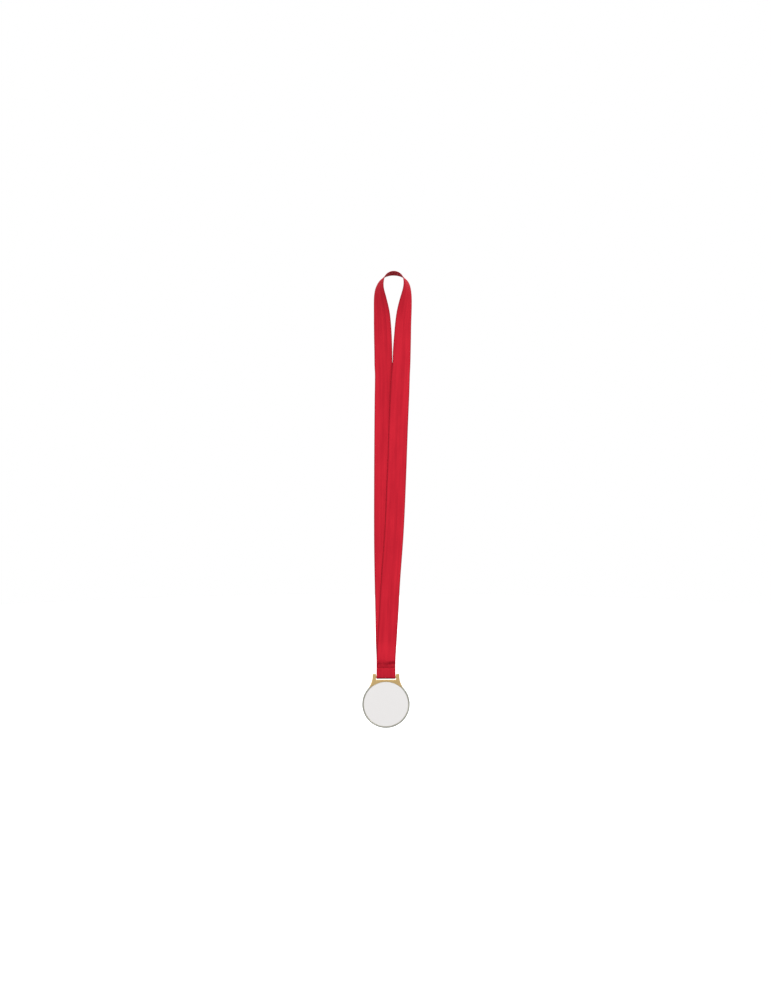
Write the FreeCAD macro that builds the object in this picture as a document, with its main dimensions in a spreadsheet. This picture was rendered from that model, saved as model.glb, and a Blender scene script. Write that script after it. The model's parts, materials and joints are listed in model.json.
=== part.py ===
import FreeCAD, Part
import math
import os
import Sketcher
from FreeCAD import Placement, Rotation, Vector

# Award medal: a cast disc with a slotted hanger, a printable insert plate held by an adhesive
# pad, and one woven ribbon sewn to itself round the hanger's crossbar.
#
# Frame: the medal hangs. +Z is up, the printed face looks along -Y, and +X is to the right of
# someone who faces it. The origin is the middle of the ribbon's inner face at the top of the
# neck loop, where the neck or a hook carries everything.

doc = FreeCAD.newDocument("medal")

# ---------------------------------------------------------------------------------------------
# Driving dimensions, in millimetres and degrees
# ---------------------------------------------------------------------------------------------

DIMENSIONS = (
    # the ribbon's cloth
    ("ribbon_width", 20.0, "woven ribbon, selvedge to selvedge"),
    ("ribbon_thick", 0.6, "one layer of ribbon"),
    ("strand_gap", 0.3, "air between the front and the back strand"),
    # how the ribbon hangs: distances down from the top of the neck loop
    ("arch_radius", 13.1, "inner radius of the bend over the neck"),
    ("bulge_drop", 28.0, "where the legs stand out furthest"),
    ("waist_drop", 54.0, "half way to where the legs meet"),
    ("closing_drop", 85.0, "where the legs meet and the opening ends"),
    ("middle_top_drop", 115.0, "top of the stretch between the swing and the twist"),
    ("middle_end_drop", 160.0, "bottom of that stretch"),
    ("end_top_drop", 335.0, "below this the ribbon turns with the medal"),
    ("bar_drop", 425.1, "axis of the hanger's crossbar"),
    # where the legs' inner edges are, left and right of the loop's middle, and how far they turn
    ("bulge_left", 7.3, "left leg's inner edge at the bulge"),
    ("bulge_right", 6.3, "right leg's inner edge at the bulge"),
    ("bulge_turn", 48.0, "turn of a leg out of the flat at the bulge"),
    ("waist_left", 2.8, "left leg's inner edge at the waist"),
    ("waist_right", 1.5, "right leg's inner edge at the waist"),
    ("waist_turn", 28.0, "turn of a leg at the waist"),
    ("closing_shift", 1.2, "the legs meet this far left of the loop's middle"),
    ("closing_turn", 18.0, "turn of a leg where the two meet"),
    # the two strands below the opening; shifts are measured to the left of the loop's middle
    ("middle_top_shift", 1.5, "middle of the two strands at middle_top_drop"),
    ("middle_top_overlap", 3.1, "how far the front strand covers the back one there"),
    ("middle_end_shift", 2.6, "middle of the two strands at middle_end_drop"),
    ("middle_end_overlap", 4.6, "how far the front strand covers the back one there"),
    ("end_top_shift", 6.8, "middle of the two strands at end_top_drop"),
    ("end_top_overlap", 14.0, "how far the front strand covers the back one there"),
    ("medal_shift", 8.1, "the medal hangs this far left of the loop's middle"),
    # the sewn end
    ("seam_rise", 9.5, "row of stitches above the crossbar's axis"),
    ("tail_length", 4.0, "ribbon's end above the row of stitches"),
    ("inner_end_length", 3.0, "back strand's end below the row of stitches"),
    ("stitch_pitch", 2.4, "from one stitch to the next"),
    ("stitch_length", 1.8, "thread that shows of one stitch"),
    ("stitch_margin", 1.6, "ribbon's edge to the end of the row"),
    ("thread_diameter", 0.36, "sewing thread"),
    ("thread_bite", 0.1, "how deep the thread pulls into the ribbon"),
    # the casting
    ("disc_diameter", 50.0, "the disc, over its rim"),
    ("plate_thick", 3.0, "the casting, front to back"),
    ("rim_width", 1.5, "rim round the insert"),
    ("lug_width", 3.7, "one lug"),
    ("bridge_height", 2.1, "metal between the recess and the slot"),
    ("waist_fillet", 20.0, "hollow between the disc and a lug"),
    ("bar_diameter", 2.6, "crossbar, cast in one with the lugs"),
    ("bar_to_slot", 3.0, "crossbar's axis above the slot's lower edge"),
    ("lug_above_bar", 3.3, "lug's top above the crossbar's axis"),
    ("lug_fillet", 1.0, "round of a lug's top corners"),
    ("edge_fillet", 0.4, "round of the casting's outer edges"),
    ("lip_fillet", 0.25, "round of the recess's lip"),
    # the insert
    ("adhesive_thick", 0.2, "double-sided pad under the insert"),
    ("insert_thick", 0.6, "coated aluminium plate"),
    ("insert_fillet", 0.15, "round of the plate's front edge, as a press leaves it"),
    ("insert_depth", 0.2, "the plate's face lies below the rim by this"),
    ("insert_clearance", 0.1, "all round the plate, in the recess"),
    ("adhesive_margin", 1.0, "the pad is smaller than the plate by this"),
    # fits between bodies
    ("loop_clearance", 0.3, "ribbon loop off the crossbar"),
    ("slot_clearance", 0.5, "ribbon's edge off each lug"),
)

sheet = doc.addObject("Spreadsheet::Sheet", "dims")
for row, (alias, value, note) in enumerate(DIMENSIONS, start=1):
    sheet.set(f"A{row}", alias)
    sheet.set(f"B{row}", str(value))
    sheet.set(f"C{row}", note)
    sheet.setAlias(f"B{row}", alias)
doc.recompute()

# Sizes that follow from the driving ones, as expressions on the sheet
HALF_WIDTH = "dims.ribbon_width / 2"
STRAND_Y = "(dims.ribbon_thick + dims.strand_gap) / 2"
DISC_RADIUS = "dims.disc_diameter / 2"
RECESS_RADIUS = "(dims.disc_diameter / 2 - dims.rim_width)"
RECESS_DEPTH = "(dims.adhesive_thick + dims.insert_thick + dims.insert_depth)"
HANGER_BASE = "dims.disc_diameter / 4"
SLOT_BASE = f"({RECESS_RADIUS} + dims.bridge_height)"
BAR_HEIGHT = f"({SLOT_BASE} + dims.bar_to_slot)"
SLOT_WIDTH = "(dims.ribbon_width + 2 * dims.slot_clearance)"
HANGER_WIDTH = f"({SLOT_WIDTH} + 2 * dims.lug_width)"
LOOP_INNER = "(dims.bar_diameter / 2 + dims.loop_clearance)"
LOOP_OUTER = f"({LOOP_INNER} + dims.ribbon_thick)"
TAIL_RISE = "(dims.seam_rise + dims.tail_length)"
TAIL_DROP = f"(dims.bar_drop - {TAIL_RISE})"


def size(alias):
    """Value of one driving dimension."""
    return float(sheet.get(alias))


def bind(thing, bindings):
    """Binds properties of a document object to expressions on the sheet."""
    for path, expression in bindings.items():
        thing.setExpression(path, expression)


# ---------------------------------------------------------------------------------------------
# Small makers for bodies and sketches
# ---------------------------------------------------------------------------------------------

ORIGIN_POINT = (-1, 1)
UP_AXIS = -2
START, END, CENTRE = 1, 2, 3


def make_body(name):
    """An empty body whose label is the sub-part's name."""
    body = doc.addObject("PartDesign::Body", name)
    body.Label = name
    return body


def make_sketch(body, name, plane, offset=None):
    """A sketch on one of the body's own origin planes, with its offset bound to the sheet."""
    sketch = body.newObject("Sketcher::SketchObject", name)
    support = next(f for f in body.Origin.OriginFeatures if f.Role == plane)
    sketch.AttachmentSupport = [(support, "")]
    sketch.MapMode = "FlatFace"
    bind(sketch, {f"AttachmentOffset.{path}": text for path, text in (offset or {}).items()})
    return sketch


def drive(sketch, constraint, name, expression):
    """Adds a dimension to a sketch and binds it to the sheet."""
    index = sketch.addConstraint(constraint)
    sketch.renameConstraint(index, name)
    sketch.setExpression(f"Constraints.{name}", expression)


def draw_chain(sketch, corners):
    """A closed chain of lines through the corners, joined end to start."""
    count = len(corners)
    for i in range(count):
        sketch.addGeometry(Part.LineSegment(corners[i], corners[(i + 1) % count]))
    for i in range(count):
        sketch.addConstraint(Sketcher.Constraint("Coincident", i, END, (i + 1) % count, START))


def draw_rectangle(sketch, width, height):
    """A rectangle of bound width and height: bottom, right, top and left edge in that order."""
    draw_chain(sketch, [Vector(-5, 1, 0), Vector(5, 1, 0), Vector(5, 7, 0), Vector(-5, 7, 0)])
    for edge, direction in ((0, "Horizontal"), (2, "Horizontal"), (1, "Vertical"), (3, "Vertical")):
        sketch.addConstraint(Sketcher.Constraint(direction, edge))
    drive(sketch, Sketcher.Constraint("DistanceX", 0, START, 0, END, 10.0), "width", width)
    drive(sketch, Sketcher.Constraint("DistanceY", 1, START, 1, END, 6.0), "height", height)


def draw_centred_rectangle(sketch, width, height):
    """A rectangle about the sketch's origin."""
    draw_rectangle(sketch, width, height)
    sketch.addConstraint(Sketcher.Constraint("Symmetric", 0, START, 1, END, *ORIGIN_POINT))


def draw_standing_rectangle(sketch, width, height, base):
    """A rectangle centred on the sketch's upright axis, its bottom edge a bound height up."""
    draw_rectangle(sketch, width, height)
    drive(sketch, Sketcher.Constraint("DistanceX", *ORIGIN_POINT, 0, END, 5.0), "reach", f"({width}) / 2")
    drive(sketch, Sketcher.Constraint("DistanceY", *ORIGIN_POINT, 0, START, 1.0), "base", base)


def draw_circle(sketch, radius, height=None):
    """A circle of bound radius at the sketch's origin, or a bound height above it."""
    centre = Vector(0, 5.0 if height else 0.0, 0)
    sketch.addGeometry(Part.Circle(centre, Vector(0, 0, 1), 3.0))
    if height:
        sketch.addConstraint(Sketcher.Constraint("PointOnObject", 0, CENTRE, UP_AXIS))
        drive(sketch, Sketcher.Constraint("DistanceY", *ORIGIN_POINT, 0, CENTRE, 5.0), "height", height)
    else:
        sketch.addConstraint(Sketcher.Constraint("Coincident", 0, CENTRE, *ORIGIN_POINT))
    drive(sketch, Sketcher.Constraint("Radius", 0, 3.0), "radius", radius)


def make_pad(body, sketch, name, length, midplane=False):
    """A pad of bound length, to both sides of its sketch or to one."""
    pad = body.newObject("PartDesign::Pad", name)
    pad.Profile = sketch
    if midplane:
        pad.SideType = "Symmetric"
    pad.setExpression("Length", length)
    return pad


def make_pocket(body, sketch, name, length, midplane=False, flip=False):
    """A pocket of bound depth, which must take material away."""
    doc.recompute()
    before = body.Shape.Volume
    pocket = body.newObject("PartDesign::Pocket", name)
    pocket.Profile = sketch
    if midplane:
        pocket.SideType = "Symmetric"
    pocket.Reversed = flip
    pocket.setExpression("Length", length)
    doc.recompute()
    if body.Shape.Volume >= before:
        raise RuntimeError(f"{name} cuts nothing")
    return pocket


def round_edges(body, name, radius, chosen):
    """A fillet of bound radius on the body's edges that a test picks."""
    doc.recompute()
    base = body.Tip
    names = [f"Edge{i}" for i, edge in enumerate(base.Shape.Edges, start=1) if chosen(edge)]
    fillet = body.newObject("PartDesign::Fillet", name)
    fillet.Base = (base, names)
    fillet.setExpression("Radius", radius)
    doc.recompute()
    return fillet


# ---------------------------------------------------------------------------------------------
# The ribbon: one strip, in stretches that each move as one or bend between two that do
# ---------------------------------------------------------------------------------------------

def left_leg_x(inner_edge, turn):
    """Centre of a turned section of the left leg, from where its inner edge is."""
    return f"-({inner_edge}) - {HALF_WIDTH} * cos({turn} * 1 deg)"


def right_leg_x(inner_edge, turn):
    """Centre of a turned section of the right leg, from where its inner edge is."""
    return f"{inner_edge} + {HALF_WIDTH} * cos({turn} * 1 deg)"


def strand_x(side, level):
    """Centre of the back or the front strand at a named level below the opening."""
    sign = "-" if side == "back" else "+"
    return f"-dims.{level}_shift {sign} (dims.ribbon_width - dims.{level}_overlap) / 2"


def add_section(body, index, x, y, drop, turn="0"):
    """A level cut through the ribbon: its width turned about the vertical by the given degrees."""
    sketch = make_sketch(
        body,
        f"{body.Name}_section_{index}",
        "XY_Plane",
        {"Base.x": x, "Base.y": y, "Base.z": f"-({drop})", "Rotation.Angle": f"({turn}) * 1 deg"},
    )
    draw_centred_rectangle(sketch, "dims.ribbon_width", "dims.ribbon_thick")
    return sketch


def make_strand(name, sections):
    """A stretch of ribbon lofted through level sections, from the top one down."""
    body = make_body(name)
    sketches = [add_section(body, i, *section) for i, section in enumerate(sections)]
    doc.recompute()
    loft = body.newObject("PartDesign::AdditiveLoft", f"{name}_loft")
    loft.Profile = sketches[0]
    loft.Sections = sketches[1:]
    loft.Ruled = len(sketches) == 2
    return body


def make_neck_arch():
    """The bend over the neck: half a ring, as deep as the ribbon is wide."""
    body = make_body("ribbon_neck_arch")
    sketch = make_sketch(body, "arch_profile", "XZ_Plane", {"Base.y": "-dims.arch_radius"})
    inner = Part.Circle(Vector(0, 0, 0), Vector(0, 0, 1), 10.0)
    outer = Part.Circle(Vector(0, 0, 0), Vector(0, 0, 1), 12.0)
    sketch.addGeometry(Part.ArcOfCircle(outer, 0, math.pi))
    sketch.addGeometry(Part.ArcOfCircle(inner, 0, math.pi))
    sketch.addGeometry(Part.LineSegment(Vector(10, 0, 0), Vector(12, 0, 0)))
    sketch.addGeometry(Part.LineSegment(Vector(-12, 0, 0), Vector(-10, 0, 0)))
    for arc in (0, 1):
        sketch.addConstraint(Sketcher.Constraint("Coincident", arc, CENTRE, *ORIGIN_POINT))
    for line in (2, 3):
        sketch.addConstraint(Sketcher.Constraint("Horizontal", line))
    for line, line_end, arc, arc_end in ((2, START, 1, START), (2, END, 0, START)):
        sketch.addConstraint(Sketcher.Constraint("Coincident", line, line_end, arc, arc_end))
    for line, line_end, arc, arc_end in ((3, START, 0, END), (3, END, 1, END)):
        sketch.addConstraint(Sketcher.Constraint("Coincident", line, line_end, arc, arc_end))
    for arc_end in (START, END):
        sketch.addConstraint(Sketcher.Constraint("PointOnObject", 0, arc_end, -1))
    drive(sketch, Sketcher.Constraint("Radius", 1, 10.0), "inner_radius", "dims.arch_radius")
    outer_radius = "dims.arch_radius + dims.ribbon_thick"
    drive(sketch, Sketcher.Constraint("Radius", 0, 12.0), "outer_radius", outer_radius)
    make_pad(body, sketch, "arch_pad", "dims.ribbon_width", midplane=True)
    return body


def make_legs():
    """The two legs of the neck loop, turning from edge-on at the arch to nearly flat."""
    reach = "dims.arch_radius + dims.ribbon_thick / 2"
    closing = "dims.closing_shift"
    left = make_strand(
        "ribbon_left_leg",
        [
            (f"-({reach})", "0", "dims.arch_radius", "-90"),
            (left_leg_x("dims.bulge_left", "dims.bulge_turn"), "0", "dims.bulge_drop", "-dims.bulge_turn"),
            (left_leg_x("dims.waist_left", "dims.waist_turn"), "0", "dims.waist_drop", "-dims.waist_turn"),
            (left_leg_x(closing, "dims.closing_turn"), STRAND_Y, "dims.closing_drop", "-dims.closing_turn"),
        ],
    )
    right = make_strand(
        "ribbon_right_leg",
        [
            (reach, "0", "dims.arch_radius", "90"),
            (right_leg_x("dims.bulge_right", "dims.bulge_turn"), "0", "dims.bulge_drop", "dims.bulge_turn"),
            (right_leg_x("dims.waist_right", "dims.waist_turn"), "0", "dims.waist_drop", "dims.waist_turn"),
            (right_leg_x(f"-{closing}", "dims.closing_turn"), f"-{STRAND_Y}", "dims.closing_drop",
             "dims.closing_turn"),
        ],
    )
    return [left, right]


def make_strands():
    """The back and the front strand below the opening, down to the sewn end."""
    made = []
    closing = "dims.closing_shift"
    tops = {
        "back": left_leg_x(closing, "dims.closing_turn"),
        "front": right_leg_x(f"-{closing}", "dims.closing_turn"),
    }
    for side, y, lean in (("back", STRAND_Y, "-"), ("front", f"-{STRAND_Y}", "")):
        top = (tops[side], y, "dims.closing_drop", f"{lean}dims.closing_turn")
        middle_top, middle_end, end_top = (
            (strand_x(side, level), y, f"dims.{level}_drop")
            for level in ("middle_top", "middle_end", "end_top")
        )
        seam_y = "0" if side == "back" else "-dims.ribbon_thick"
        end = ("-dims.medal_shift", seam_y, TAIL_DROP)
        made.append(make_strand(f"ribbon_{side}_swing_bend", [top, middle_top]))
        made.append(make_strand(f"ribbon_{side}_middle", [middle_top, middle_end]))
        made.append(make_strand(f"ribbon_{side}_twist_bend", [middle_end, end_top]))
        made.append(make_strand(f"ribbon_{side}_end", [end_top, end]))
    return made


def add_sewn_back_end(body):
    """Runs the back strand on between the loop's two layers, through the row of stitches."""
    end = make_sketch(
        body, "sewn_end_section", "XY_Plane", {"Base.x": "-dims.medal_shift", "Base.z": f"-{TAIL_DROP}"}
    )
    draw_centred_rectangle(end, "dims.ribbon_width", "dims.ribbon_thick")
    pad = make_pad(body, end, "sewn_end_pad", "dims.tail_length + dims.inner_end_length")
    pad.Reversed = True


def make_end_loop():
    """The loop round the crossbar: down in front, under the bar and up behind to the tail."""
    body = make_body("ribbon_end_loop")
    offset = {"Base.y": "-dims.bar_drop", "Base.z": "-dims.medal_shift"}
    sketch = make_sketch(body, "loop_profile", "YZ_Plane", offset)
    outer = Part.Circle(Vector(0, 0, 0), Vector(0, 0, 1), 2.2)
    inner = Part.Circle(Vector(0, 0, 0), Vector(0, 0, 1), 1.6)
    sketch.addGeometry(Part.ArcOfCircle(outer, math.pi, 2 * math.pi))
    sketch.addGeometry(Part.ArcOfCircle(inner, math.pi, 2 * math.pi))
    # each arm is five lines from the outer arc's end over the tail's top to the inner arc's end
    for side in (-1, 1):
        arm = [(2.2, 0), (0.9, 9), (0.9, 13), (0.3, 13), (0.3, 9), (1.6, 0)]
        corners = [Vector(side * y, z, 0) for y, z in arm]
        for start, end in zip(corners, corners[1:]):
            sketch.addGeometry(Part.LineSegment(start, end))
    for arc in (0, 1):
        sketch.addConstraint(Sketcher.Constraint("Coincident", arc, CENTRE, *ORIGIN_POINT))
    for first, arc_end in ((2, START), (7, END)):
        sketch.addConstraint(Sketcher.Constraint("Coincident", first, START, 0, arc_end))
        for line in range(first, first + 4):
            sketch.addConstraint(Sketcher.Constraint("Coincident", line, END, line + 1, START))
        sketch.addConstraint(Sketcher.Constraint("Coincident", first + 4, END, 1, arc_end))
        sketch.addConstraint(Sketcher.Constraint("Vertical", first + 1))
        sketch.addConstraint(Sketcher.Constraint("Horizontal", first + 2))
        sketch.addConstraint(Sketcher.Constraint("Vertical", first + 3))
        sketch.addConstraint(Sketcher.Constraint("PointOnObject", first, START, -1))
        sketch.addConstraint(Sketcher.Constraint("PointOnObject", first + 4, END, -1))
    for line in (2, 5):
        sketch.addConstraint(Sketcher.Constraint("Symmetric", line, END, line + 5, END, UP_AXIS))
    for line, other in ((3, 8), (2, 5)):
        sketch.addConstraint(Sketcher.Constraint("Horizontal", line, END, other, END))
    drive(sketch, Sketcher.Constraint("Radius", 0, 2.2), "outer_radius", LOOP_OUTER)
    drive(sketch, Sketcher.Constraint("Radius", 1, 1.6), "inner_radius", LOOP_INNER)
    drive(sketch, Sketcher.Constraint("DistanceY", *ORIGIN_POINT, 2, END, 9.0), "seam", "dims.seam_rise")
    drive(sketch, Sketcher.Constraint("DistanceY", *ORIGIN_POINT, 3, END, 13.0), "tail", TAIL_RISE)
    outer_span = "3 * dims.ribbon_thick"
    drive(sketch, Sketcher.Constraint("DistanceX", 2, END, 7, END, 1.8), "outer_span", outer_span)
    drive(sketch, Sketcher.Constraint("DistanceX", 5, END, 10, END, 0.6), "inner_span", "dims.ribbon_thick")
    make_pad(body, sketch, "loop_pad", "dims.ribbon_width", midplane=True)
    return body


def make_stitches():
    """The row of stitches that closes the loop, on its front and on its back."""
    row = size("ribbon_width") - 2 * size("stitch_margin")
    count = int((row - size("stitch_length")) / size("stitch_pitch")) + 1
    depth = "(1.5 * dims.ribbon_thick + dims.thread_diameter / 2 - dims.thread_bite)"
    threads = []
    for side, sign in (("front", "-"), ("rear", "")):
        for i in range(count):
            thread = doc.addObject("Part::Cylinder", f"stitch_{side}_{i}")
            thread.Placement = Placement(Vector(), Rotation(Vector(0, 1, 0), 90))
            from_middle = f"({i} - {count - 1} / 2) * dims.stitch_pitch - dims.stitch_length / 2"
            bind(
                thread,
                {
                    "Radius": "dims.thread_diameter / 2",
                    "Height": "dims.stitch_length",
                    "Placement.Base.x": f"{from_middle} - dims.medal_shift",
                    "Placement.Base.y": f"{sign}{depth}",
                    "Placement.Base.z": "dims.seam_rise - dims.bar_drop",
                },
            )
            threads.append(thread)
    group = doc.addObject("Part::Compound", "seam_stitches")
    group.Label = "seam_stitches"
    group.Links = threads
    return group


# ---------------------------------------------------------------------------------------------
# The medal: casting, adhesive pad and insert plate, drawn about the disc's centre
# ---------------------------------------------------------------------------------------------

def place_at_disc(thing):
    """Puts a piece drawn about the disc's centre where the medal hangs."""
    disc_drop = f"-(dims.bar_drop + {BAR_HEIGHT})"
    bind(thing, {"Placement.Base.x": "-dims.medal_shift", "Placement.Base.z": disc_drop})


def runs_through(edge):
    """True for a straight edge that runs from the casting's front to its back."""
    first, last = edge.Vertexes[0].Point, edge.Vertexes[-1].Point
    straight = abs(first.x - last.x) < 1e-6 and abs(first.z - last.z) < 1e-6
    return straight and abs(first.y - last.y) > 1e-6


def lies_at(edge, y):
    """True for an edge in the plane parallel to the disc at the given depth."""
    return all(abs(edge.valueAt(t).y - y) < 1e-6 for t in edge.ParameterRange)


def make_casting():
    """Disc, hanger and crossbar in one casting, with a recess for the insert."""
    body = make_body("medal_body")
    disc = make_sketch(body, "disc_outline", "XZ_Plane")
    draw_circle(disc, DISC_RADIUS)
    make_pad(body, disc, "disc_pad", "dims.plate_thick", midplane=True)

    hanger = make_sketch(body, "hanger_outline", "XZ_Plane")
    hanger_height = f"{BAR_HEIGHT} + dims.lug_above_bar - {HANGER_BASE}"
    draw_standing_rectangle(hanger, HANGER_WIDTH, hanger_height, HANGER_BASE)
    make_pad(body, hanger, "hanger_pad", "dims.plate_thick", midplane=True)

    slot = make_sketch(body, "slot_outline", "XZ_Plane")
    draw_standing_rectangle(slot, SLOT_WIDTH, "dims.bar_to_slot + 2 * dims.lug_above_bar", SLOT_BASE)
    make_pocket(body, slot, "slot_pocket", "2 * dims.plate_thick", midplane=True)

    half_hanger = size("ribbon_width") / 2 + size("slot_clearance") + size("lug_width")
    recess_radius = size("disc_diameter") / 2 - size("rim_width")
    lug_top = recess_radius + size("bridge_height") + size("bar_to_slot") + size("lug_above_bar")

    def at_waist(edge):
        """The upright corners between the disc and the lugs' outer sides."""
        point = edge.Vertexes[0].Point
        return runs_through(edge) and abs(abs(point.x) - half_hanger) < 1e-4 and point.z < lug_top - 1e-4

    def at_lug_top(edge):
        """The corners of the two lugs' tops."""
        point = edge.Vertexes[0].Point
        return runs_through(edge) and abs(point.z - lug_top) < 1e-4

    round_edges(body, "waist_fillets", "dims.waist_fillet", at_waist)
    round_edges(body, "lug_top_fillets", "dims.lug_fillet", at_lug_top)

    def on_outline(edge):
        """Edges of the front and the back face."""
        return lies_at(edge, -size("plate_thick") / 2) or lies_at(edge, size("plate_thick") / 2)

    round_edges(body, "outline_fillets", "dims.edge_fillet", on_outline)

    recess = make_sketch(body, "recess_outline", "XZ_Plane", {"Base.z": "dims.plate_thick / 2"})
    draw_circle(recess, RECESS_RADIUS)
    make_pocket(body, recess, "recess_pocket", RECESS_DEPTH)

    def on_lip(edge):
        """The recess's edge in the front face."""
        whole = isinstance(edge.Curve, Part.Circle) and abs(edge.Curve.Radius - recess_radius) < 1e-4
        return whole and lies_at(edge, -size("plate_thick") / 2)

    round_edges(body, "lip_fillet", "dims.lip_fillet", on_lip)

    bar = make_sketch(body, "bar_section", "YZ_Plane")
    draw_circle(bar, "dims.bar_diameter / 2", BAR_HEIGHT)
    doc.recompute()
    make_pad(body, bar, "bar_pad", f"{SLOT_WIDTH} + dims.lug_width", midplane=True)
    place_at_disc(body)
    return body


def make_recess_disc(name, radius, face_depth, thick):
    """A round sheet in the recess, its face a bound depth behind the rim."""
    body = make_body(name)
    face = f"dims.plate_thick / 2 - ({face_depth})"
    sketch = make_sketch(body, f"{name}_outline", "XZ_Plane", {"Base.z": face})
    draw_circle(sketch, radius)
    pad = make_pad(body, sketch, f"{name}_pad", thick)
    pad.Reversed = True
    place_at_disc(body)
    return body


def make_insert():
    """The printable plate and the adhesive pad that holds it."""
    plate_radius = f"{RECESS_RADIUS} - dims.insert_clearance"
    plate = make_recess_disc("insert_plate", plate_radius, "dims.insert_depth", "dims.insert_thick")
    face_y = size("insert_depth") - size("plate_thick") / 2
    round_edges(plate, "insert_fillet", "dims.insert_fillet", lambda edge: lies_at(edge, face_y))
    pad = make_recess_disc(
        "insert_adhesive",
        f"{plate_radius} - dims.adhesive_margin",
        "dims.insert_depth + dims.insert_thick",
        "dims.adhesive_thick",
    )
    return [plate, pad]


# ---------------------------------------------------------------------------------------------
# Build, check and write every sub-part
# ---------------------------------------------------------------------------------------------

def check_document():
    """Stops on any object that failed to compute."""
    for thing in doc.Objects:
        if "Invalid" in thing.State or "Error" in thing.State:
            raise RuntimeError(f"{thing.Label} did not compute: {thing.State}")


def write_parts(parts):
    """Checks each sub-part's solid and writes it to its own file."""
    os.makedirs("parts", exist_ok=True)
    for part in parts:
        shape = part.Shape
        if shape.isNull() or not shape.isValid() or not shape.Solids:
            raise RuntimeError(f"{part.Label} has no sound solid")
        shape.exportStep(f"parts/{part.Label}.step")
        print(f"{part.Label}: {len(shape.Solids)} solid(s), {shape.Volume:.1f} mm3")


parts = [make_neck_arch(), *make_legs(), *make_strands(), make_end_loop()]
add_sewn_back_end(doc.getObject("ribbon_back_end"))
parts += [make_stitches(), make_casting(), *make_insert()]
doc.recompute()
check_document()
write_parts(parts)
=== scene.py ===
"""Award medal: a pale gold casting with a blank white insert, on a long red neck ribbon."""
import json
import logging
import math
from dataclasses import dataclass, field
from enum import Enum
from typing import Any, Sequence

import bmesh
import bpy
import numpy as np
from mathutils import Matrix, Vector, noise


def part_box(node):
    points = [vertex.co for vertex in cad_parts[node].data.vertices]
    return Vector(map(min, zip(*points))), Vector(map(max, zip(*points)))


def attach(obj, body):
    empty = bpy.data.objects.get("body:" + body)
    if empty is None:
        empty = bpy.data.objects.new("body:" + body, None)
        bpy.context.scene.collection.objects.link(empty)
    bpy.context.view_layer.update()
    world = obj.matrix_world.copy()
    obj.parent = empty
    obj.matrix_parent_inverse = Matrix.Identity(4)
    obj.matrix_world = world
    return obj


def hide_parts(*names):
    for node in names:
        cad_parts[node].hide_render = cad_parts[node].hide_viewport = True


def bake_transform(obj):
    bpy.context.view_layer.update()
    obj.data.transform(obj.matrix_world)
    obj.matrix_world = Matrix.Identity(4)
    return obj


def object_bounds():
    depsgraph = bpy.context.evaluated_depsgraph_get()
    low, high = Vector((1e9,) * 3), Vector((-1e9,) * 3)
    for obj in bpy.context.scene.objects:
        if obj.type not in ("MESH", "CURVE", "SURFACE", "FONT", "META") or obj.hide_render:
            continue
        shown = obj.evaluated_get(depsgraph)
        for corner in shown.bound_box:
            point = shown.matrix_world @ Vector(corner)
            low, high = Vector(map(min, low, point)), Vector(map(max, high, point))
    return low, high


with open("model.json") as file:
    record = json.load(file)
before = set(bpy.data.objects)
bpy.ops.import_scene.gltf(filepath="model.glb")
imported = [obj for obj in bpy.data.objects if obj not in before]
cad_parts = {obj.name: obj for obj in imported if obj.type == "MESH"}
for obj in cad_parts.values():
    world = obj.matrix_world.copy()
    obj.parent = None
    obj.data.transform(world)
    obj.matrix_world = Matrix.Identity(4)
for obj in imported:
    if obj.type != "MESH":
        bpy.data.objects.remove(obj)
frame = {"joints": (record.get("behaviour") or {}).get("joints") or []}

CAD_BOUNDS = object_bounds()
MM = 0.001
STITCH_PITCH = 2.4 * MM
FLOOR_GAP = 120 * MM
log = logging.getLogger("medal")


# ---- Nodes -----------------------------------------------


class NodeTree:
    """A node tree in the making."""

    def __init__(self, tree: bpy.types.NodeTree) -> None:
        """Keeps the tree that new nodes go into."""
        self.tree = tree

    def add(
        self, kind: str, settings: dict | None = None, inputs: dict | None = None
    ) -> bpy.types.Node:
        """Adds one node.

        Args:
            kind: the node's type.
            settings: its own properties, set first.
            inputs: a value, or an output to link, for each input by name or place.

        Returns:
            The node.
        """
        node = self.tree.nodes.new(kind)
        for name, setting in (settings or {}).items():
            setattr(node, name, setting)
        self.feed(node, inputs or {})
        return node

    def feed(self, node: bpy.types.Node, inputs: dict) -> None:
        """Sets or links inputs of a node.

        Args:
            node: the node to feed.
            inputs: a value, or an output to link, for each input by name or place.
        """
        for key, given in inputs.items():
            source = self.source(given)
            if isinstance(source, bpy.types.NodeSocket):
                self.tree.links.new(source, node.inputs[key])
            else:
                node.inputs[key].default_value = source

    def source(self, given: Any) -> Any:
        """What an input is fed with: an output to link, or a plain value."""
        return given


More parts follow.
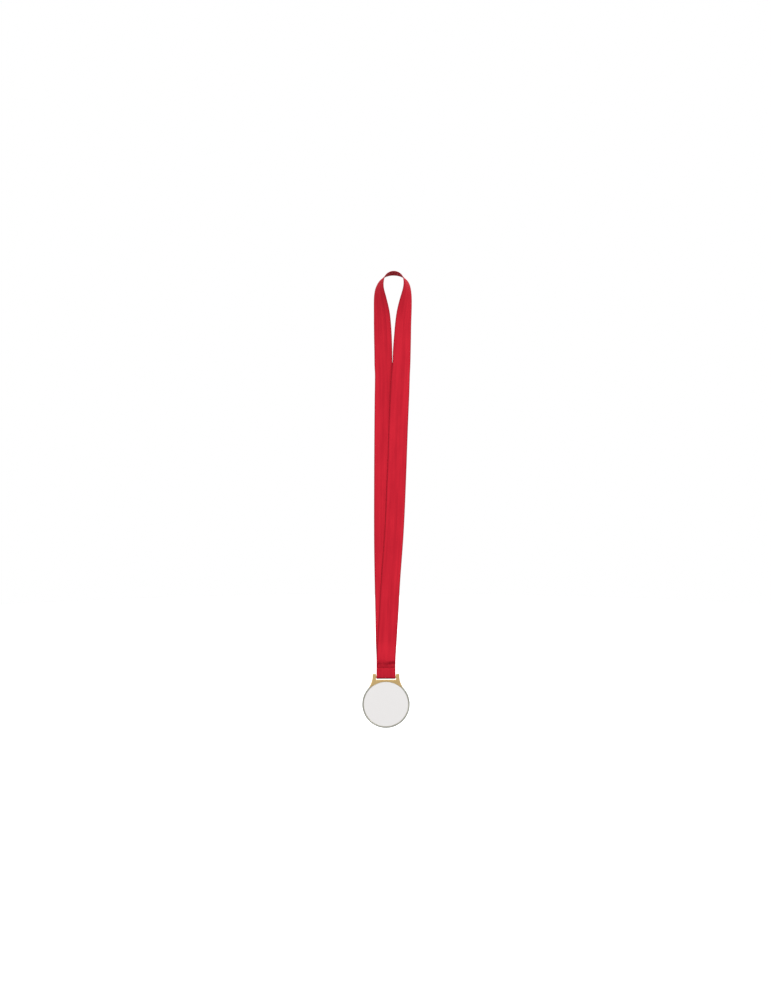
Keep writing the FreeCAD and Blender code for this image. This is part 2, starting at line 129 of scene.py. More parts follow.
class Value:
    """A number socket of a shader, which takes part in Python expressions."""

    def __init__(self, shader: "Shader", socket: bpy.types.NodeSocket) -> None:
        """Keeps the output and the shader that new Math nodes go into."""
        self.shader = shader
        self.socket = socket

    def _math(self, operation: str, *operands: "Value | float") -> "Value":
        """The result of one new Math node."""
        inputs = dict(enumerate(operands))
        return self.shader.value("ShaderNodeMath", {"operation": operation}, inputs)

    def __add__(self, other: "Value | float") -> "Value":
        """This value plus another."""
        return self._math("ADD", self, other)

    __radd__ = __add__

    def __sub__(self, other: "Value | float") -> "Value":
        """This value less another."""
        return self._math("SUBTRACT", self, other)

    def __rsub__(self, other: float) -> "Value":
        """A number less this value."""
        return self._math("SUBTRACT", other, self)

    def __mul__(self, other: "Value | float") -> "Value":
        """This value times another."""
        return self._math("MULTIPLY", self, other)

    __rmul__ = __mul__

    def sine(self) -> "Value":
        """The sine of this value, in radians."""
        return self._math("SINE", self)

    def size(self) -> "Value":
        """This value without its sign."""
        return self._math("ABSOLUTE", self)

    def root(self) -> "Value":
        """The square root of this value."""
        return self._math("SQRT", self)

    def ramp(self, low: float, high: float) -> "Value":
        """0 up to low, 1 from high on, and a smooth step between them.

        Args:
            low: where the step starts.
            high: where it ends; less than low for a step down.

        Returns:
            The step.
        """
        settings = {"interpolation_type": "SMOOTHSTEP"}
        inputs = {"Value": self, "From Min": low, "From Max": high}
        return self.shader.value("ShaderNodeMapRange", settings, inputs)


class Shader(NodeTree):
    """A material's nodes, from its coordinates to its surface."""

    def __init__(self, name: str) -> None:
        """Starts an empty material with one Principled surface.

        Args:
            name: the material's name.
        """
        self.material = bpy.data.materials.new(name)
        self.material.use_nodes = True
        super().__init__(self.material.node_tree)
        self.surface = next(n for n in self.tree.nodes if n.type == "BSDF_PRINCIPLED")

    def source(self, given: Any) -> Any:
        """The output behind a Value, or a plain value as it is."""
        return given.socket if isinstance(given, Value) else given

    def value(
        self, kind: str, settings: dict | None = None, inputs: dict | None = None, out: Any = 0
    ) -> Value:
        """Adds one node and returns its output of that name or place."""
        return Value(self, self.add(kind, settings, inputs).outputs[out])

    def axes(self, vector: Value) -> tuple[Value, Value, Value]:
        """The X, Y and Z of a vector."""
        node = self.add("ShaderNodeSeparateXYZ", None, {0: vector})
        return tuple(Value(self, node.outputs[i]) for i in range(3))

    def join(self, x: Value | float, y: Value | float, z: Value | float = 0.0) -> Value:
        """A vector from three components."""
        return self.value("ShaderNodeCombineXYZ", None, {0: x, 1: y, 2: z})

    def place(self) -> Value:
        """The point on the surface in the object's own frame, in metres."""
        return self.value("ShaderNodeTexCoord", None, None, "Object")

    def noise(
        self, where: Value, scale: float, detail: float = 2.0, roughness: float = 0.5
    ) -> Value:
        """Soft random values from 0 to 1, with so many features in one unit of where."""
        inputs = {"Vector": where, "Scale": scale, "Detail": detail, "Roughness": roughness}
        return self.value("ShaderNodeTexNoise", None, inputs, "Fac")

    def mix(self, share: Value, first: Any, second: Any) -> Value:
        """A colour between two.

        Args:
            share: 0 for the first, 1 for the second.
            first: colour or Value.
            second: colour or Value.

        Returns:
            The mixed colour.
        """
        node = self.add("ShaderNodeMix", {"data_type": "RGBA"})
        colours = [c if isinstance(c, Value) else (*c, 1.0) for c in (first, second)]
        self.feed(node, {0: share, 6: colours[0], 7: colours[1]})
        return Value(self, node.outputs[2])

    def bump(self, height: Value, depth: float, strength: float = 1.0) -> Value:
        """A surface normal from a height of 0 to 1, where 1 is depth metres high."""
        inputs = {"Height": height, "Distance": depth, "Strength": strength}
        return self.value("ShaderNodeBump", None, inputs, "Normal")

    def finish(self, inputs: dict) -> bpy.types.Material:
        """Feeds the surface and returns the material."""
        self.feed(self.surface, inputs)
        return self.material


# ---- Finishes --------------------------------------------


Colour = tuple[float, float, float]


@dataclass(frozen=True)
class Streaks:
    """Uneven yarn: how many features a metre holds across and along, and their share."""

    across: float
    along: float
    share: float
    roughness: float = 0.5
    detail: float = 3.0

    def over(self, sh: Shader, across: Value, along: Value) -> Value:
        """The yarn's strength at each place on the cloth, from 0 to 1."""
        where = sh.join(across * self.across, along * self.along)
        return sh.noise(where, 1.0, self.detail, self.roughness)


@dataclass(frozen=True)
class RibbonCloth:
    """Plain-woven polyester ribbon: fine ribs along it, weft across it and firm selvedges."""

    colour: Colour = (0.63, 0.0180, 0.0360)
    deep: Colour = (0.37, 0.0060, 0.0190)
    # selvedge: the denser woven edge's colour, made darker to paint in the shade of the rounded
    # edges
    selvedge: Colour = (0.37, 0.0100, 0.0220)
    # painted shade colour: for the end loop's underside, the seam's gathers and the cloth just
    # below the seam
    painted_shade_colour: Colour = (0.15, 0.0015, 0.0090)
    width: float = 20 * MM
    warp_pitch: float = 0.42 * MM
    weft_pitch: float = 0.36 * MM
    selvedge_width: float = 1.2 * MM
    selvedge_and_shade_share: float = 0.85
    thread_relief: float = 0.04 * MM
    streaks: Streaks = Streaks(2600.0, 18.0, 0.25, 0.6)
    bands: Streaks = Streaks(380.0, 9.0, 0.35, 0.6)
    patches: Streaks = Streaks(130.0, 26.0, 0.28)
    weave_share: float = 0.12
    deep_share: float = 0.6

    def build(self) -> bpy.types.Material:
        """Makes the material, which reads the strip's own cloth map in metres.

        Returns:
            The material.
        """
        sh = Shader("ribbon_cloth")
        across, along, _ = sh.axes(sh.value("ShaderNodeUVMap", {"uv_map": "cloth"}))
        warp = (across * (2 * math.pi / self.warp_pitch)).sine()
        weft = (along * (2 * math.pi / self.weft_pitch)).sine()
        weave = 0.5 + 0.22 * warp + 0.28 * (warp * weft)
        streaks = self.streaks.over(sh, across, along)
        bands = self.bands.over(sh, across, along)
        patches = self.patches.over(sh, across, along)
        shade = streaks * self.streaks.share + bands * self.bands.share
        shade = shade + patches * self.patches.share + weave * self.weave_share
        body = sh.mix(shade.ramp(0.64, 0.36) * self.deep_share, self.colour, self.deep)
        # Painted shade, read from a per-vertex attribute: darker on the end loop's underside, in
        # the seam's gathers and just below the seam.
        crush = sh.value("ShaderNodeAttribute", {"attribute_name": "crush"}, None, "Fac")
        body = sh.mix(crush, body, self.painted_shade_colour)
        # Darker selvedges: partly the denser woven edge, partly painted shade where the rounded
        # edges turn away from the light.
        half = self.width / 2
        off_middle = (across - half).size()
        edge = off_middle.ramp(half - self.selvedge_width, half - 0.5 * self.selvedge_width)
        return sh.finish(
            {
                "Base Color": sh.mix(edge * self.selvedge_and_shade_share, body, self.selvedge),
                "Roughness": 0.60 + 0.16 * streaks + 0.08 * edge,
                "Normal": sh.bump(weave + 0.25 * streaks, self.thread_relief, 0.55),
                "Specular IOR Level": 0.05,
                "Sheen Weight": 0.02,
                "Sheen Roughness": 0.4,
                "Sheen Tint": (1.0, 0.12, 0.2, 1.0),
            }
        )


@dataclass(frozen=True)
class SewingThread:
    """Twisted polyester thread, a little darker than the ribbon."""

    colour: Colour = (0.50, 0.010, 0.024)
    deep: Colour = (0.30, 0.005, 0.014)
    ply_pitch: float = 0.42 * MM
    ply_relief: float = 0.05 * MM

    def build(self) -> bpy.types.Material:
        """Makes the material, with its plies on a slant.

        Returns:
            The material.
        """
        sh = Shader("sewing_thread")
        x, y, z = sh.axes(sh.place())
        slant = x + z * 0.9 + y * 0.5
        # Painted shade: the thread is darker in the grooves between its plies, where the bump is
        # low.
        ply = (slant * (2 * math.pi / self.ply_pitch)).sine() * 0.5 + 0.5
        return sh.finish(
            {
                "Base Color": sh.mix(ply, self.deep, self.colour),
                "Roughness": 0.5 + 0.15 * ply,
                "Normal": sh.bump(ply, self.ply_relief, 0.7),
                "Specular IOR Level": 0.1,
                "Sheen Weight": 0.02,
            }
        )


@dataclass(frozen=True)
class GoldPlating:
    """Pale gold plate over a die casting: satin faces, and a painted pale grey reflection round
    the rim.
    """

    centre: Vector
    rim_radius: float
    colour: Colour = (0.98, 0.70, 0.32)
    warm: Colour = (0.93, 0.62, 0.25)
    # the grey of the painted reflection on the rim
    rim_reflection_colour: Colour = (0.56, 0.575, 0.52)
    back_from: float = 1.0 * MM
    back_fully: float = 1.4 * MM
    back_narrowing: float = 1.4 * MM
    reflection_from: float = 2.0 * MM
    reflection_fully: float = 1.2 * MM
    reflection_until: float = 0.7 * MM
    plain_above: float = 0.84
    reflection_below: float = 0.64
    relief: float = 0.02 * MM

    def build(self) -> bpy.types.Material:
        """Makes the material, centred on the disc, with a painted reflection round the rim below
        the hanger.

        Returns:
            The material.
        """
        sh = Shader("gold_plating")
        place = sh.place()
        x, y, z = sh.axes(place)
        dx, dz = x - self.centre.x, z - self.centre.z
        radius = (dx * dx + dz * dz).root()
        at_back = y.ramp(self.back_from, self.back_fully)
        reach = radius - at_back * self.back_narrowing
        # Painted reflection: a pale grey band round the bevelled rim below the hanger, where the
        # rim would mirror the room; narrower on the back.
        rim = reach.ramp(self.rim_radius - self.reflection_from, self.rim_radius - self.reflection_fully)
        rim = rim * radius.ramp(self.rim_radius + self.reflection_until, self.rim_radius + 0.1 * MM)
        rim = rim * dz.ramp(self.plain_above * self.rim_radius, self.reflection_below * self.rim_radius)
        clouds = sh.noise(place, scale=90.0, detail=3.0)
        grain = sh.noise(place, scale=1500.0, detail=3.0, roughness=0.65)
        handling = sh.noise(place, scale=260.0, detail=4.0, roughness=0.6)
        plate = sh.mix(clouds.ramp(0.35, 0.75) * 0.6, self.colour, self.warm)
        return sh.finish(
            {
                "Base Color": sh.mix(rim * 0.97, plate, self.rim_reflection_colour),
                "Metallic": 1.0,
                "Roughness": 0.27 + 0.12 * (handling - 0.5) + 0.05 * grain + 0.03 * rim,
                "Normal": sh.bump(grain + 0.8 * handling, self.relief, 0.35),
            }
        )


@dataclass(frozen=True)
class WhiteCoating:
    """White gloss coat on the insert, ready to print."""

    centre: Vector
    radius: float
    colour: Colour = (0.82, 0.80, 0.79)
    flow_tint: Colour = (0.80, 0.79, 0.80)
    edge: Colour = (0.70, 0.70, 0.66)
    edge_width: float = 0.5 * MM
    relief: float = 0.01 * MM

    def build(self) -> bpy.types.Material:
        """Makes the material: even white, a little greyer in a narrow ring at its edge.

        Returns:
            The material.
        """
        sh = Shader("white_coating")
        place = sh.place()
        x, _, z = sh.axes(place)
        dx, dz = x - self.centre.x, z - self.centre.z
        radius = (dx * dx + dz * dz).root()
        edge = radius.ramp(self.radius - self.edge_width, self.radius)
        flow = sh.noise(place, scale=55.0)
        peel = sh.noise(place, scale=900.0)
        coat = sh.mix(flow * 0.25, self.colour, self.flow_tint)
        return sh.finish(
            {
                "Base Color": sh.mix(edge, coat, self.edge),
                "Roughness": 0.30 + 0.10 * peel + 0.15 * edge,
                "Normal": sh.bump(peel, self.relief, 0.3),
                "Coat Weight": 0.25,
                "Coat Roughness": 0.12,
            }
        )


@dataclass(frozen=True)
class AdhesiveFilm:
    """Milky double-sided adhesive sheet."""

    colour: Colour = (0.72, 0.71, 0.66)
    deep: Colour = (0.62, 0.60, 0.55)
    relief: float = 0.02 * MM

    def build(self) -> bpy.types.Material:
        """Makes the material.

        Returns:
            The material.
        """
        sh = Shader("adhesive_film")
        fibres = sh.noise(sh.place(), scale=700.0, detail=4.0, roughness=0.7)
        return sh.finish(
            {
                "Base Color": sh.mix(fibres, self.colour, self.deep),
                "Roughness": 0.45 + 0.2 * fibres,
                "Normal": sh.bump(fibres, self.relief, 0.5),
            }
        )


@dataclass(frozen=True)
class StudioFloor:
    """Matt white acrylic board, lit a little from beneath."""

    colour: Colour = (0.93, 0.93, 0.93)
    glow: float = 0.4

    def build(self) -> bpy.types.Material:
        """Makes the material.

        Returns:
            The material.
        """
        sh = Shader("studio_floor")
        tooth = sh.noise(sh.place(), scale=300.0, detail=3.0)
        return sh.finish(
            {
                "Base Color": (*self.colour, 1.0),
                "Roughness": 0.75 + 0.1 * tooth,
                "Emission Color": (1.0, 1.0, 1.0, 1.0),
                "Emission Strength": self.glow,
            }
        )


# ---- The ribbon ------------------------------------------


def place_object(name: str, data: bpy.types.ID) -> bpy.types.Object:
    """Adds an object to the scene.

    Args:
        name: the object's name.
        data: its mesh, or its light or camera.

    Returns:
        The object, unturned at the origin.
    """
    thing = bpy.data.objects.new(name, data)
    bpy.context.collection.objects.link(thing)
    return thing


class Strand(Enum):
    """The ribbon's two halves: one behind, on the viewer's left, and one in front."""

    BACK = -1
    FRONT = 1


@dataclass(frozen=True)
class Station:
    """A place that the ribbon passes, set from the middles of a CAD solid's two ends.

    The share is 0 at the solid's top and 1 at its bottom. The bow is how far the ribbon
    stands to the viewer's right of the line between them, and the lean how far behind it, in
    millimetres. The turn is 0 where the ribbon faces forwards and 90 where it is edge-on.
    """

    node: str
    share: float
    bow: float
    lean: float
    turn: float

    def knot(self) -> list[float]:
        """The place and the turn of the ribbon there.

        Returns:
            One row for the curve, in metres and radians.
        """
        top, bottom = solid_ends(self.node)
        x, y, z = top + self.share * (bottom - top)
        return [x + self.bow * MM, y + self.lean * MM, z, math.radians(self.turn)]


@dataclass(frozen=True)
class ArchStation:
    """A place over the neck: degrees round from the top, and how far it stands inside the arc."""

    angle: float
    inset: float
    turn: float

    def knot(self, side: int, arch_radius: float) -> list[float]:
        """The place and the turn of the ribbon there.

        Args:
            side: -1 for the viewer's left, 1 for the right.
            arch_radius: radius of the arc's middle line.

        Returns:
            One row for the curve, in metres and radians.
        """
        reach, angle = arch_radius - self.inset * MM, math.radians(self.angle)
        x, z = side * reach * math.sin(angle), reach * math.cos(angle) - arch_radius
        return [x, 0.0, z, math.radians(self.turn)]


def solid_ends(node: str, flatness: float = 0.02 * MM) -> tuple[np.ndarray, np.ndarray]:
    """The middles of a CAD solid's top and bottom faces.

    Args:
        node: the solid's node.
        flatness: how far a face's points may be from its level.

    Returns:
        The top face's middle and the bottom face's.
    """
    rows = np.array([v.co[:] for v in bpy.data.objects[node].data.vertices])
    ends = []
    for level in (rows[:, 2].max(), rows[:, 2].min()):
        face = rows[np.abs(rows[:, 2] - level) < flatness]
        ends.append((face.min(axis=0) + face.max(axis=0)) / 2)
    return ends[0], ends[1]


def unit(rows: np.ndarray) -> np.ndarray:
    """Rows of vectors, each made one long."""
    return rows / np.linalg.norm(rows, axis=1, keepdims=True)


def smooth_through(knots: np.ndarray, spacing: Sequence[float]) -> tuple[np.ndarray, list[int]]:
    """A smooth curve through knots, whose first three columns are a place.

    Args:
        knots: one row for each knot.
        spacing: about how far apart the samples are, for each gap between two knots.

    Returns:
        One row for each sample, and the row at which each knot is passed.
    """
    gaps = np.linalg.norm(np.diff(knots[:, :3], axis=0), axis=1)
    reach = np.concatenate([[0.0], np.cumsum(gaps)])
    slopes = np.gradient(knots, reach, axis=0)
    rows, passed = [], [0]
    for i, gap in enumerate(gaps):
        count = max(2, round(gap / spacing[i]))
        t = np.linspace(0.0, 1.0, count, endpoint=False)[:, None]
        rows.append(
            (2 * t**3 - 3 * t**2 + 1) * knots[i]
            + (t**3 - 2 * t**2 + t) * gap * slopes[i]
            + (3 * t**2 - 2 * t**3) * knots[i + 1]
            + (t**3 - t**2) * gap * slopes[i + 1]
        )
        passed.append(passed[-1] + count)
    return np.vstack([*rows, knots[-1:]]), passed


def ease(value: np.ndarray | float, low: float, high: float) -> np.ndarray:
    """0 up to low, 1 from high on, and a smooth step between them."""
    t = np.clip((np.asarray(value) - low) / (high - low), 0.0, 1.0)
    return t * t * (3 - 2 * t)


@dataclass(frozen=True)
class Span:
    """A stretch that fades in and out: four distances from its origin, in millimetres."""

    start: float
    full: float
    fading: float
    stop: float

    def share(self, distance: float) -> float:
        """How far inside the stretch a distance in metres is, from 0 to 1."""
        inwards = ease(distance, self.start * MM, self.full * MM)
        return float(inwards * ease(-distance, -self.stop * MM, -self.fading * MM))


@dataclass(frozen=True)
class Ripple:
    """Smooth random waves over the cloth, seeded and so the same at every run.

    The sizes across and along are in metres. The waves are of about the given strength,
    round a level.
    """

    across: float
    along: float
    seed: float
    strength: float = 1.0
    level: float = 0.0
    shift: float = 0.0

    def at(self, x: float, z: float, side: float = 1.0) -> float:
        """The waves' height at a place, of their own on each side of the ribbon."""
        where = Vector((x / self.across, side * self.seed, z / self.along + self.shift))
        return self.level + self.strength * noise.noise(where)


@dataclass(frozen=True)
class Sewing:
    """What the seam does to the cloth round it: it presses and gathers the layers, and painted
    shade darkens the cloth there.

    Heights are counted up from the row of stitches, and the tail's cut end is the step that
    the outer cloth lies over.
    """

    seam: float
    tail_top: float
    loop_foot: float
    middle: float
    groove: float = 0.30 * MM
    groove_width: float = 0.7 * MM
    stitch_share: float = 0.25
    step_rise: float = 0.15 * MM
    step_width: float = 0.5 * MM
    step_share: float = 0.9
    inner_press: float = 0.72
    outer_press: float = 0.32
    swell: float = 2.0 * MM
    pucker: float = 2.4 * MM
    back_share: float = 0.45
    # Strengths of the painted shade: in the gathers, on the end loop's underside and just below
    # the seam.
    gather_shade: float = 0.30
    loop_foot_shade: float = 0.85
    below_seam_shade: float = 0.2

    SWOLLEN = Span(0.1, 8.6, 8.8, 28.0)
    FOLDED = Span(0.2, 3.6, 3.8, 10.0)
    SLACK = Span(0.3, 2.2, 3.0, 8.5)
    # Where the painted shade of the gathers lies, above the seam.
    GATHER_SHADE_SPAN = Span(0.0, 0.8, 5.5, 9.5)
    LUMPS = Ripple(0.0021, math.inf, 4.0, 0.8, level=0.6, shift=1.7)
    FOLDS = Ripple(0.0031, 0.008, 9.3)
    CREASES = Ripple(0.0011, 0.004, 5.0, 0.5)
    TUCKS = Ripple(0.0019, math.inf, 3.3, 0.5, shift=2.0)
    SAG = Ripple(0.0045, 0.008, 2.3, 0.2, level=0.06)
    # How unevenly the gathers' painted shade falls.
    GATHER_SHADE_RIPPLE = Ripple(0.0028, 0.0024, 5.5, 0.6, level=0.75)

    def row(self, above: float) -> float:
        """How near a height is to the row of stitches, up to 1."""
        return math.exp(-((above / self.groove_width) ** 2))

    def step(self, above: float) -> float:
        """How near a height is to the tail's cut end, up to 1."""
        level = above - (self.tail_top - self.seam) + self.step_rise
        return math.exp(-((level / self.step_width) ** 2))

    def rightwards(self, x: float, least: float, start: float, full: float) -> float:
        """Least on the viewer's left, then up to 1 between two places in millimetres."""
        step = ease(x, self.middle + start * MM, self.middle + full * MM)
        return least + (1 - least) * float(step)

    def gather(self, place: np.ndarray) -> float:
        """How far sewing lifts the outer cloth off its middle line.

        Args:
            place: one point across the middle line.

        Returns:
            The lift along the way that the cloth faces, in metres.
        """
        x, y, z = place
        above, front = z - self.seam, y < 0
        side = -1.0 if front else 1.0
        wave = math.cos((x - self.middle) * 2 * math.pi / STITCH_PITCH)
        holes = 1 - self.stitch_share + self.stitch_share * wave
        groove = self.groove * holes * self.row(above)
        folds = self.FOLDS.at(x, z, side) + self.CREASES.at(x, z, side)
        rise = self.FOLDED.share(above)
        step = swell = 0.0
        if front:
            step = self.step_share * self.groove * self.LUMPS.at(x, z, side) * self.step(above)
            swell = self.swell * self.SWOLLEN.share(above)
            folds += self.TUCKS.at(x, z, side)
        else:
            folds, rise = abs(folds), rise * self.back_share
        slack = self.SLACK.share(-above) * max(0.0, self.SAG.at(x, z, side))
        weight = self.rightwards(x, 0.45, -6, 3)
        return -groove - step + max(0.0, swell + self.pucker * (weight * rise * folds + slack))

    def squeeze(self, above: float, outer: bool) -> float:
        """How thin the sewing presses the cloth.

        Args:
            above: height above the row of stitches.
            outer: whether it is one of the outer layers, which keep more of their thickness.

        Returns:
            The share of the thickness that is left.
        """
        pressed = max(self.row(above), self.step_share * self.step(above))
        return 1 - (self.outer_press if outer else self.inner_press) * pressed

    def crush(self, place: np.ndarray) -> float:
        """How much painted shade darkens the cloth: in the gathers, on the end loop's underside
        and just below the seam.

        Args:
            place: one point of the cloth's surface.

        Returns:
            0 for no painted shade, up to 1.
        """
        x, y, z = place
        above, from_foot = z - self.seam, self.loop_foot - z
        # painted shade on the underside of the end loop's fold
        under = self.loop_foot_shade * float(ease(from_foot, -2.5 * MM, -0.4 * MM))
        # painted shade over the loop just below the seam
        pressed = self.below_seam_shade * float(ease(-above, 0.6 * MM, 2.4 * MM))
        # painted shade in the front gathers above the seam, where the folds would shadow the cloth
        gather_shade_amount = self.gather_shade * self.GATHER_SHADE_SPAN.share(above) if y < 0 else 0.0
        gather_shade_amount *= self.rightwards(x, 0.4, -7, 2) * self.GATHER_SHADE_RIPPLE.at(x, z)
        return min(1.0, max(under, pressed) + gather_shade_amount)


@dataclass
class Route:
    """Samples along the ribbon's middle line: where it runs and which way its width lies."""

    points: np.ndarray
    widths: np.ndarray
    lengths: np.ndarray = field(init=False)
    normals: np.ndarray = field(init=False)

    def __post_init__(self) -> None:
        """Works out the running length and the way that each sample faces."""
        steps = np.linalg.norm(np.diff(self.points, axis=0), axis=1)
        self.lengths = np.concatenate([[0.0], np.cumsum(steps)])
        along = unit(np.gradient(self.points, self.lengths, axis=0))
        square = self.widths - np.sum(self.widths * along, axis=1, keepdims=True) * along
        self.widths = unit(square)
        self.normals = unit(np.cross(along, self.widths))


@dataclass
class NeckRibbon:
    """One strip of ribbon: up behind, over the neck, down in front and round the crossbar."""

    cloth: bpy.types.Material
    width: float
    thick: float
    arch_radius: float
    bar: Vector
    loop_radius: float
    sewing: Sewing
    row_gap: float = 1.15 * MM
    fine_gap: float = 0.3 * MM
    fine_below: float = 48 * MM
    rim_width: float = 2.4 * MM
    edge_round: float = 0.28 * MM
    bead: float = 0.035 * MM
    bead_place: float = 0.5 * MM
    bead_width: float = 0.28 * MM
    bead_from: float = 0.05 * MM
    sway: float = 0.55 * MM
    sway_from: float = 85 * MM
    sway_fully: float = 170 * MM
    sway_less: float = 30 * MM
    sway_none: float = 62 * MM
    relax_rows: int = 3
    relax_foot: float = 112 * MM
    relax_fade: float = 35 * MM
    end_top: float = field(init=False)
    route: Route = field(init=False)
    cuts: dict[str, int] = field(init=False)

    BELLY = Ripple(0.055, 0.075, 3.1, 1.5)
    RIPPLES = Ripple(0.011, 0.034, 8.7, 0.42)
    # Places across, in millimetres from a selvedge, and how many there are between the rims.
    RIM = (0.0, 0.03, 0.10, 0.20, 0.34, 0.6, 1.0, 1.6)
    MIDDLE_PLACES = 20
    # Rows along the end loop: down each side, round the bar and up the tail.
    ARM_ROWS, BEND_ROWS, TAIL_ROWS = 27, 33, 14
    ARCH = (
        ArchStation(25.5, -0.25, 87.5),
        ArchStation(41, -0.35, 84),
        ArchStation(55, -0.8, 78.5),
        ArchStation(66, -0.8, 74.5),
        ArchStation(79, -0.8, 70.5),
    )
    # Where each side runs, from the top down: a Station's share, bow, lean and turn.
    LEFT = {
        "ribbon_left_leg": (
            (0.04, -2.0, 0.0, 64), (0.10, -2.1, 0.0, 58.5), (0.18, -1.7, 0.0, 51),
            (0.25, -1.25, 0.0, 46), (0.39, -0.35, 0.0, 35), (0.57, 0.0, 0.0, 26),
            (0.76, 0.0, 0.0, 21), (1.0, -0.2, 0.15, 19.5),
        ),
        "ribbon_back_swing_bend": (
            (0.35, -0.36, 0.3, 19), (0.7, 0.1, 0.35, 14), (1.0, 0.05, 0.35, 9),
        ),
        "ribbon_back_middle": (
            (1 / 3, 0.0, 0.25, 5), (2 / 3, 0.0, 0.1, 2.5), (1.0, 0.0, 0.0, 1),
        ),
        "ribbon_back_twist_bend": (
            (0.34, -0.5, 0.0, 0), (0.74, -0.65, 0.0, 0),
        ),
        "ribbon_back_end": (
            (0.0, 0.0, 0.0, 0), (0.2, 0.0, 0.0, 0), (0.6, -0.1, 0.05, 0),
        ),
    }
    RIGHT = {
        "ribbon_right_leg": (
            (0.04, 1.1, 0.0, 66.5), (0.10, 1.3, 0.0, 61), (0.18, 0.9, 0.0, 54),
            (0.25, 0.5, 0.0, 48.5), (0.39, -0.2, 0.0, 39), (0.57, -0.45, 0.0, 32),
            (0.76, -0.2, 0.0, 26), (1.0, 0.2, -0.15, 19.5),
        ),
        "ribbon_front_swing_bend": (
            (0.35, 0.4, -0.3, 19), (0.7, 0.1, -0.35, 14), (1.0, 0.05, -0.35, 9),
        ),
        "ribbon_front_middle": (
            (1 / 3, 0.05, -0.25, 5), (2 / 3, 0.0, -0.1, 2.5), (1.0, 0.0, 0.0, 1),
        ),
        "ribbon_front_twist_bend": (
            (0.343, 0.9, 0.0, 0), (0.629, 1.2, 0.0, 0),
        ),
        "ribbon_front_end": (
            (0.0, 0.0, 0.0, 0), (0.2, 0.1, 0.0, 0), (0.64, 0.0, 0.0, 0),
        ),
    }
    # The stations of each side, counted from the top, at which the strip is cut.
    NECK_CUT = 11
    END_CUT = 17

    def __post_init__(self) -> None:
        """Lays out the whole strip and notes where it is cut into pieces."""
        end_top, back_end = solid_ends("ribbon_back_end")
        self.end_top = end_top[2]
        front_end = solid_ends("ribbon_front_end")[1]
        hidden = [[*back_end, 0.0], [*back_end[:2], self.sewing.tail_top + MM, 0.0]]
        left, right = (
            [Station(node, *row).knot() for node, rows in side.items() for row in rows]
            for side in (self.LEFT, self.RIGHT)
        )
        left_arch, right_arch = (
            [place.knot(side.value, self.arch_radius) for place in self.ARCH] for side in Strand
        )
        top = [[0.0, 0.0, 0.0, math.radians(90)]]
        seam = [[*front_end, 0.0], [*front_end[:2], self.sewing.seam, 0.0]]
        up = hidden + left[::-1] + left_arch[::-1]
        knots = np.array(up + top + right_arch + right + seam)
        fine_top = self.end_top - self.fine_below
        spacing = [self.fine_gap if z < fine_top else self.row_gap for z in knots[1:, 2]]
        samples, passed = smooth_through(knots, spacing)
        samples = self.relax(samples)
        points = samples[:, :3]
        depth_way = np.array([0.0, 1.0, 0.0])
        outward = unit(np.cross(unit(np.gradient(points, axis=0)), depth_way))
        turn = samples[:, 3:]
        widths = outward * np.cos(turn) + depth_way * np.sin(turn)
        loop = self.loop_points()
        loop_widths = np.tile([1.0, 0.0, 0.0], (len(loop), 1))
        self.route = Route(np.vstack([points, loop]), np.vstack([widths, loop_widths]))
        last_left = len(hidden) + len(left) - 1
        first_right = len(up) + len(top) + len(right_arch)
        self.cuts = {
            "start": 0,
            "back_end": passed[last_left - self.END_CUT],
            "back_neck": passed[last_left - self.NECK_CUT],
            "front_neck": passed[first_right + self.NECK_CUT],
            "front_end": passed[first_right + self.END_CUT],
            "stop": len(self.route.points) - 1,
        }

    def relax(self, samples: np.ndarray) -> np.ndarray:
        """Evens out the bends over the neck, and leaves the strands below as they are.

        Args:
            samples: one row for each sample, its place first.

        Returns:
            The rows, evened out.
        """
        reach = np.arange(-3 * self.relax_rows, 3 * self.relax_rows + 1)
        kernel = np.exp(-0.5 * (reach / self.relax_rows) ** 2)
        kernel /= kernel.sum()
        padded = np.pad(samples, ((len(reach) // 2,) * 2, (0, 0)), mode="edge")
        even = np.column_stack([np.convolve(column, kernel, mode="valid") for column in padded.T])
        share = ease(samples[:, 2:3], -self.relax_foot, -self.relax_foot + self.relax_fade)
        return samples + share * (even - samples)

    def loop_points(self) -> np.ndarray:
        """The end loop's middle line, from just below the front seam round to the tail.

        Returns:
            One row for each sample.
        """
        rise = self.sewing.seam - self.bar.z
        share = np.linspace(0.0, 1.0, self.ARM_ROWS)[1:]
        spread = -self.thick - (self.loop_radius - self.thick) * ease(share, 0.0, 0.92)
        arm = np.column_stack([spread, rise * (1 - share)])
        angle = np.linspace(math.pi, 2 * math.pi, self.BEND_ROWS)[1:-1]
        bend = self.loop_radius * np.column_stack([np.cos(angle), np.sin(angle)])
        back = arm[::-1] * [-1.0, 1.0]
        tail_rise = np.linspace(rise, self.sewing.tail_top - self.bar.z, self.TAIL_ROWS)
        tail = np.column_stack([np.full(self.TAIL_ROWS, self.thick), tail_rise])
        depth, height = np.vstack([arm, bend, back, tail]).T
        return np.column_stack([np.full(len(depth), self.bar.x), depth, height + self.bar.z])

    def across(self) -> np.ndarray:
        """Places across the ribbon, from one selvedge to the other, closer near the edges.

        Returns:
            The distances from one selvedge.
        """
        rim = np.array(self.RIM) * MM
        middle = np.linspace(self.rim_width, self.width - self.rim_width, self.MIDDLE_PLACES)
        return np.concatenate([rim, middle, self.width - rim[::-1]])

